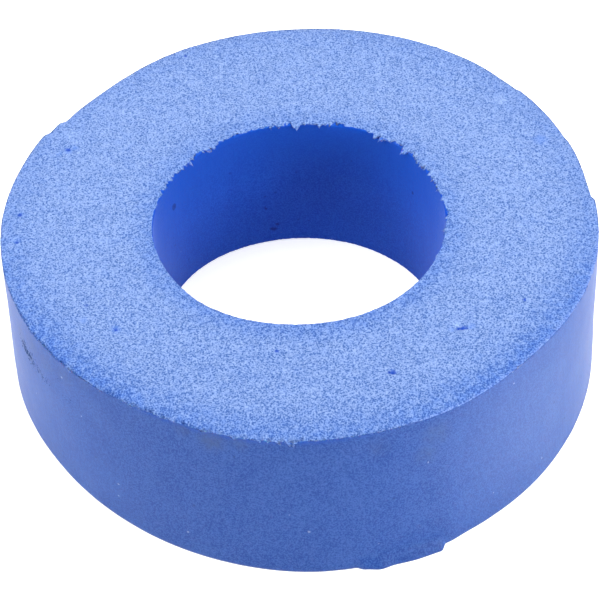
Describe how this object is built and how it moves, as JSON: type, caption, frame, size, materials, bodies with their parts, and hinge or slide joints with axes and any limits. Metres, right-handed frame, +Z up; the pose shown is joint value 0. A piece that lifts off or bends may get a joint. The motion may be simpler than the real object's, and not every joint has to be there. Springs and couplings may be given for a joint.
{
  "type": "foam ring",
  "caption": "Thick flat-faced ring of fine-celled closed foam with a plain round through bore, sawn flat top and bottom.",
  "frame": {"origin": "centre of the lower sawn face, on the bore's axis", "axes": "+Z up the bore's axis, from the lower sawn face to the upper one; X and Y are any two square directions across the ring"},
  "size_m": [0.102, 0.102, 0.0285],
  "materials": {
    "foam": "matte, granular sawn faces and smooth walls"
  },
  "bodies": {
    "root": {"foam_ring": "foam"}
  },
  "joints": []
}
